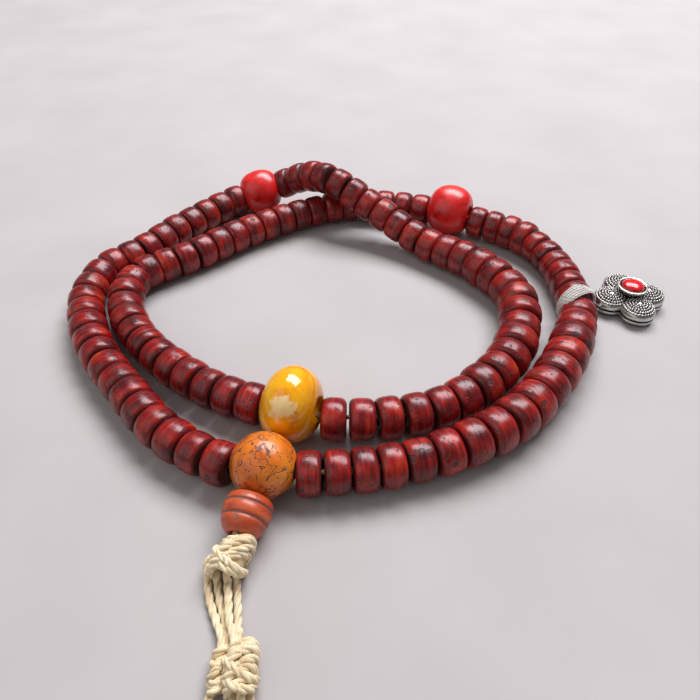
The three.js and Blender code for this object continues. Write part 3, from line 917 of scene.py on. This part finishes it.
def tassel_cords(centre, tassel):
    """Four cords, each whole from inside the top knot through the lower knots to its end."""
    knot = centre + tassel * (KNOT_DISTANCE + 0.0001)
    for i, (upper, lower) in enumerate(zip(TASSEL_CORDS, TASSEL_ENDS)):
        start = Vector(upper[0]).lerp(knot, 0.45)
        points = resample([start, *upper, *lower], 0.00034)
        cord = rope_parts(points, STRAND_RADIUS, 3, 8.5, 8, phase=i * 0.9)
        name = f"tassel_strand_{i + 1}"
        mesh = mesh_from(name, *join_parts([cord, *frayed_end(points, i)]))
        nodes = [f"tassel_cord_{i + 1}", f"tassel_end_{i + 1}"]
        piece = add_piece(name, mesh, COTTON, "tassel", nodes)


def frayed_end(points, seed):
    """Loose yarns that spread from the end of a cord."""
    pick = random.Random(seed + 50)
    tip = points[-1]
    way = points[-1] - points[-8]
    way /= np.linalg.norm(way)
    side = np.array([way[1], -way[0], 0.0])
    parts = []
    for k in range(9):
        spread = pick.uniform(-0.9, 0.9)
        length = pick.uniform(0.0016, 0.0029)
        start = tip - way * 0.0009 + side * spread * 0.0004
        middle = start + (way * 0.5 + side * spread * 0.20) * length
        end = start + (way * 0.95 + side * spread * 0.62) * length
        rise = pick.uniform(0.0001, 0.0007)
        line = [start, middle + np.array([0, 0, rise]), end + np.array([0, 0, rise * 0.3])]
        for p in line:
            p[2] = max(p[2] - 0.0002, YARN_RADIUS)
        path = resample([Vector(p) for p in line], 0.0005)
        taper = np.linspace(1, 0.5, len(path))
        parts.append(rope_parts(path, YARN_RADIUS, 1, 60, 5, taper=taper))
    return parts


def ring_points(centre, axis, radius, tilt=0.0, lean=0.0, steps=44):
    """A loop about an axis, tilted across it; lean is the side it is tilted to."""
    turn = basis(axis)
    points = []
    for k in range(steps):
        a = 2 * math.pi * k / steps
        local = Vector((radius * math.cos(a), radius * math.sin(a), tilt * math.cos(a - lean)))
        points.append(list(centre + turn @ local))
    return np.array(points)


def knot_mesh(name, centre, axis, loops, r, length):
    """Crossed wraps over a plain core; a wrap is offset, radius, tilt, lean and thickness."""
    parts = []
    for k, (offset, radius, tilt, lean, thick) in enumerate(loops):
        points = ring_points(centre + axis * offset, axis, radius, tilt, lean)
        thick *= STRAND_RADIUS
        points[:, 2] = np.maximum(points[:, 2], thick * 1.02)
        parts.append(rope_parts(points, thick, 3, 8.0, 8, closed=True, phase=k * 1.3))
    half = [(0.0, length / 2), (0.6 * r, length / 2), (r, length / 4)]
    outline = [(a, -b) for a, b in half] + half[::-1]
    core = lathe(name + "_core", outline, 20)
    parts.append(as_part(core, Matrix.Translation(centre) @ basis(axis).to_4x4()))
    return mesh_from(name, *join_parts(parts))


TOP_WRAPS = [
    (-0.0026, 0.0019, 0.0008, 1.2, 1),
    (-0.0017, 0.0025, 0.0018, 1.5, 1),
    (-0.0005, 0.0029, 0.0024, 1.7, 1),
    (0.0007, 0.0030, 0.0025, 1.5, 1),
    (0.0018, 0.0027, 0.0021, 1.7, 1),
    (0.0011, 0.0031, 0.0017, -1.1, 1),
    (0.0020, 0.0026, 0.0014, -0.7, 1),
]
FAT_WRAPS = [
    (-0.0030, 0.0016, 0.0007, 2.0, 1),
    (-0.0020, 0.0020, 0.0013, 1.8, 1),
    (-0.0008, 0.0022, 0.0016, 2.1, 1.04),
    (0.0004, 0.0022, 0.0015, 1.7, 1.04),
    (0.0016, 0.0021, 0.0013, 2.2, 1),
    (0.0027, 0.0018, 0.0009, 1.6, 1),
    (0.0002, 0.0024, 0.0019, -1.0, 1),
    (0.0022, 0.0021, 0.0014, -0.5, 1),
]
THIN_WRAPS = [
    (-0.0028, 0.0009, 0.0005, 1.2, 1),
    (-0.0014, 0.0011, 0.0009, 0.6, 1),
    (0.0001, 0.0012, 0.0010, 1.4, 1),
    (0.0015, 0.0011, 0.0008, 0.5, 1),
    (0.0028, 0.0009, 0.0005, 1.0, 1),
]


def top_knot(centre, tassel):
    """Crossed wraps of the tassel cords under the tower."""
    middle = centre + tassel * KNOT_DISTANCE
    mesh = knot_mesh("top_knot_wraps", middle, tassel, TOP_WRAPS, 0.0026, 0.0058)
    add_piece("top_knot_wraps", mesh, COTTON, "guru", ["top_knot"])


def tassel_core(centre, tassel):
    """Two cords side by side from the guru bead through the tower into the top knot."""
    core = resample([centre + tassel * 0.0016, centre + tassel * 0.0160], 0.0006)
    side = np.array(basis(tassel) @ Vector((0, 0.00062, 0)))
    parts = [rope_parts(core + side * sign, STRAND_RADIUS * 0.95, 3, 8, 7) for sign in (-1, 1)]
    mesh = mesh_from("tassel_core_strands", *join_parts(parts))
    add_piece("tassel_core_strands", mesh, COTTON, "guru", ["tassel_core"])


def lower_knots():
    """Barrel knots low on the tassel: a fat one of many wraps and a thin one beside it."""
    axis = Vector((0.04, -1, 0)).normalized()
    fat = box_centre("lower_knot_right")
    thin = box_centre("lower_knot_left") + Vector((0.0009, 0.0004, 0.0001))
    for side, centre, wraps, r, length in (
        ("right", fat, FAT_WRAPS, 0.0018, 0.0068),
        ("left", thin, THIN_WRAPS, 0.0009, 0.0062),
    ):
        node = f"lower_knot_{side}"
        mesh = knot_mesh(node + "_wraps", centre, axis, wraps, r, length)
        add_piece(mesh.name, mesh, COTTON, "tassel", [node])


# ---------------------------------------------------------------- charm
CHARM_TURN = math.radians(8)
PETAL_RADIUS = 0.0044
PETAL_CIRCLE = 0.0051
PETAL_SIDES, PETAL_RINGS = 132, 66
PLATE_RIM = 0.0006
GRAIN_ROWS = 5
GRAIN_EDGE = 0.82  # share of the petal's radius that the rows of grains fill
BEZEL_RADIUS = 0.0039
STONE_RADIUS = 0.0029
TIE_THREADS = 10


def thread_tie():
    """A flat bundle of white threads round the string, fanned on the inner side, drawn to the eye."""
    tie, _ = joint("charm_lift")
    eye, _ = joint("charm_swing")
    way = Vector((eye.x - tie.x, eye.y - tie.y, 0)).normalized()
    across = Vector((-way.y, way.x, 0))
    reach = (eye - tie).dot(way)
    drop = eye.z - tie.z
    parts = []
    for k in range(TIE_THREADS):
        loop = tie_loop(k, reach, drop)
        points = [tie + way * u + Vector((0, 0, z)) + across * v for u, z, v in loop]
        dense = [list(q) for stretch in closed_curve(points, 10) for q in stretch]
        points = np.array(dense)
        points[:, 2] = np.maximum(points[:, 2], 0.0002)
        parts.append(rope_parts(points, 0.00021, 2, 9, 6, closed=True, phase=k))
    mesh = mesh_from("thread_tie_bundle", *join_parts(parts))
    add_piece("thread_tie_bundle", mesh, THREAD, "tie", ["thread_tie"])


def tie_loop(k, reach, drop):
    """Thread k of the tie, from the eye over the string and back: outward, upward, sideways."""
    share = k / (TIE_THREADS - 1) - 0.5
    fan, wide, tight = 0.0032 * share, 0.0024 * share, 0.0006 * share
    rise = 0.00022 * (k % 2)
    return [
        (reach - 0.0004, drop - 0.0006, tight),
        (reach + 0.00015, drop, tight),
        (reach - 0.0004, drop + 0.0006, tight),
        (0.0040, 0.0028 + rise, wide * 0.7),
        (0.0020, 0.0048 + rise, wide),
        (-0.0005, 0.0055 + rise, fan),
        (-0.0031, 0.0047 + rise, fan),
        (-0.0050, 0.0024 + rise, fan * 0.95),
        (-0.0052, -0.0004, fan * 0.8),
        (-0.0036, -0.0032, fan * 0.5),
        (0.0, -0.0042, wide * 0.6),
        (0.0030, -0.0038, tight),
    ]


def dome(r, rise):
    """Height of a petal's face above its flat back."""
    share = min(r / PETAL_RADIUS, 1.0)
    return PLATE_RIM + rise * math.sqrt(max(0.0, 1 - (share * 0.985) ** 2))


def relief(r, a):
    """How far the grains or the rope edge stand proud at a point, and how dark it is there."""
    share = r / PETAL_RADIUS
    if share > 0.93:
        return 0.0, 0.0
    if share > GRAIN_EDGE:
        edge = (share - 0.875) / 0.055
        rope = 0.5 + 0.5 * math.cos(a * 30 + edge * 1.2)
        grain = math.sqrt(max(0.0, 1 - min(1, abs(edge)) ** 2)) * (0.45 + 0.55 * rope)
        return 0.00022 * grain, 1 - grain
    width = GRAIN_EDGE / GRAIN_ROWS
    row = min(int(share / width), GRAIN_ROWS - 1)
    if row == 0:
        grain = math.sqrt(max(0.0, 1 - min(1.0, share / width) ** 2))
        return 0.00030 * grain, 1 - grain
    across = (share - (row + 0.5) * width) / (width / 2)
    count = max(5, round(2 * math.pi * (row + 0.5) * 1.02))
    along = ((a * count / (2 * math.pi) + 0.5 * (row % 2)) % 1.0 - 0.5) * 2
    grain = math.sqrt(max(0.0, 1 - (across / 0.98) ** 2 - (along / 0.98) ** 2))
    return 0.00040 * grain, 1 - grain


def petal(angle, rise):
    """Vertices, faces and darkness of one domed petal, from its top round to its back."""
    cx, cy = PETAL_CIRCLE * math.cos(angle), PETAL_CIRCLE * math.sin(angle)
    turns = [2 * math.pi * k / PETAL_SIDES for k in range(PETAL_SIDES)]
    vertices = [(cx, cy, dome(0, rise) + relief(0, 0)[0])]
    recess = [0.0]
    for i in range(1, PETAL_RINGS + 1):
        r = PETAL_RADIUS * 0.985 * i / PETAL_RINGS
        for a in turns:
            proud, dark = relief(r, a)
            vertices.append((cx + r * math.cos(a), cy + r * math.sin(a), dome(r, rise) + proud))
            recess.append(dark)
    for share, z, dark in ((1.0, 0.85, 0.1), (1.0, 0.15, 0.1), (0.985, 0.0, 0.8)):
        r = PETAL_RADIUS * share
        vertices += [(cx + r * math.cos(a), cy + r * math.sin(a), PLATE_RIM * z) for a in turns]
        recess += [dark] * PETAL_SIDES
    vertices.append((cx, cy, 0.0))
    recess.append(0.9)
    return vertices, petal_faces(), recess


def petal_faces():
    rings = PETAL_RINGS + 3
    last = 1 + (rings - 1) * PETAL_SIDES
    faces = []
    for k in range(PETAL_SIDES):
        m = (k + 1) % PETAL_SIDES
        faces.append((0, 1 + k, 1 + m))
        for one in range(1, last, PETAL_SIDES):
            two = one + PETAL_SIDES
            faces.append((one + k, two + k, two + m, one + m))
        faces.append((last + k, last + PETAL_SIDES, last + m))
    return faces


def plate_mesh(name, turn, rise):
    """A pressed plate: four domed petals with granulated rings, joined by a flat disc."""
    parts, recess = [], []
    for p in range(4):
        vertices, faces, dark = petal(turn + p * math.pi / 2, rise)
        parts.append((vertices, faces))
        recess += dark
    outline = [(0.0, 0.0001), (0.0041, 0.0001), (0.0042, 0.0008), (0.0041, 0.0013), (0.0, 0.0013)]
    disc = as_part(lathe(name + "_land", outline, 64))
    recess += [0.8] * len(disc[0])
    mesh = mesh_from(name, *join_parts([*parts, disc]))
    set_attribute(mesh, "recess", recess)
    return mesh


def plates():
    """The front plate faces up; the back plate is flatter and faces down."""
    for side, flip, rise in (("front", 1, 0.0020), ("back", -1, 0.0012)):
        node = f"charm_{side}_plate"
        low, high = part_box(node)
        centre = box_centre(node)
        centre.z = low[2] if flip > 0 else high[2]
        mesh = plate_mesh(f"charm_{side}_petals", CHARM_TURN * flip, rise)
        matrix = Matrix.Translation(centre)
        if flip < 0:
            matrix = matrix @ Matrix.Rotation(math.pi, 4, "X")
        add_piece(mesh.name, mesh, SILVER, "charm", [node], matrix)


def on_bezel(rise):
    """A place above the middle of the bezel's foot."""
    centre = box_centre("charm_bezel")
    return Matrix.Translation((centre.x, centre.y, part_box("charm_bezel")[0][2] + rise))


def bezel():
    r = BEZEL_RADIUS
    profile = [
        (0.0, -0.0020), (0.60, -0.0020), (0.66, -0.0010), (0.70, 0.0), (0.74, 0.0008),
        (0.84, 0.0015), (0.95, 0.0020), (0.995, 0.00225), (1.0, 0.00245), (0.97, 0.00262),
        (0.91, 0.00268), (0.84, 0.00262), (0.79, 0.00245), (0.765, 0.0021), (0.76, 0.0014),
        (0.0, 0.0012),
    ]
    mesh = lathe("charm_bezel_cup", [(share * r, z) for share, z in profile], 72)

    def dark(v):
        inside_cup = v.z < 0.0022 and math.hypot(v.x, v.y) < 0.78 * r
        return 0.75 if v.z < 0.0004 or inside_cup else 0.0

    set_attribute(mesh, "recess", [dark(v.co) for v in mesh.vertices])
    add_piece(mesh.name, mesh, SILVER, "charm", ["charm_bezel"], on_bezel(0))


def cabochon():
    s = STONE_RADIUS
    outline = [(0.0, 0.0), (0.9 * s, 0.0), (0.985 * s, 0.0002), (s, 0.0006), (0.99 * s, 0.0010)]
    for k in range(1, 14):
        a = math.pi / 2 * k / 14
        outline.append((0.985 * s * math.cos(a), 0.0010 + 0.00135 * math.sin(a)))
    outline.append((0.0, 0.00235))
    mesh = lathe("charm_cabochon_stone", outline, 56)
    matrix = on_bezel(0.00125)
    add_piece(mesh.name, mesh, STONE, "charm", ["charm_cabochon"], matrix)


def eye_ring():
    eye, _ = joint("charm_swing")
    ring = ring_points(eye, (0, 0, 1), 0.00086, steps=36)
    mesh = mesh_from("charm_eye_ring", *rope_parts(ring, 0.00026, 1, 60, 12, closed=True))
    set_attribute(mesh, "recess", [0.1] * len(mesh.vertices))
    add_piece(mesh.name, mesh, SILVER, "charm", ["charm_eye"])


set_up_camera()
set_up_floor()
set_up_light()
main_cord()
string_beads()
marker("coral_bead_1", "coral_1", CORAL, 0.0118, 0.00655, 0.56, 0.0, 3.0)
marker("coral_bead_2", "coral_2", CORAL, 0.0126, 0.00725, 0.58, 0.03, 8.0)
marker("amber_bead", "amber", AMBER, 0.0123, 0.0082, 0.74, 0.13, 5.0)
guru_centre = box_centre("guru_bead")
guru_centre.z = GURU_RADIUS
_, tassel_way = joint("tower_spin")
guru_bead(guru_centre, tassel_way)
tower_bead(guru_centre, tassel_way)
top_knot(guru_centre, tassel_way)
tassel_core(guru_centre, tassel_way)
tassel_cords(guru_centre, tassel_way)
lower_knots()
thread_tie()
plates()
bezel()
cabochon()
eye_ring()
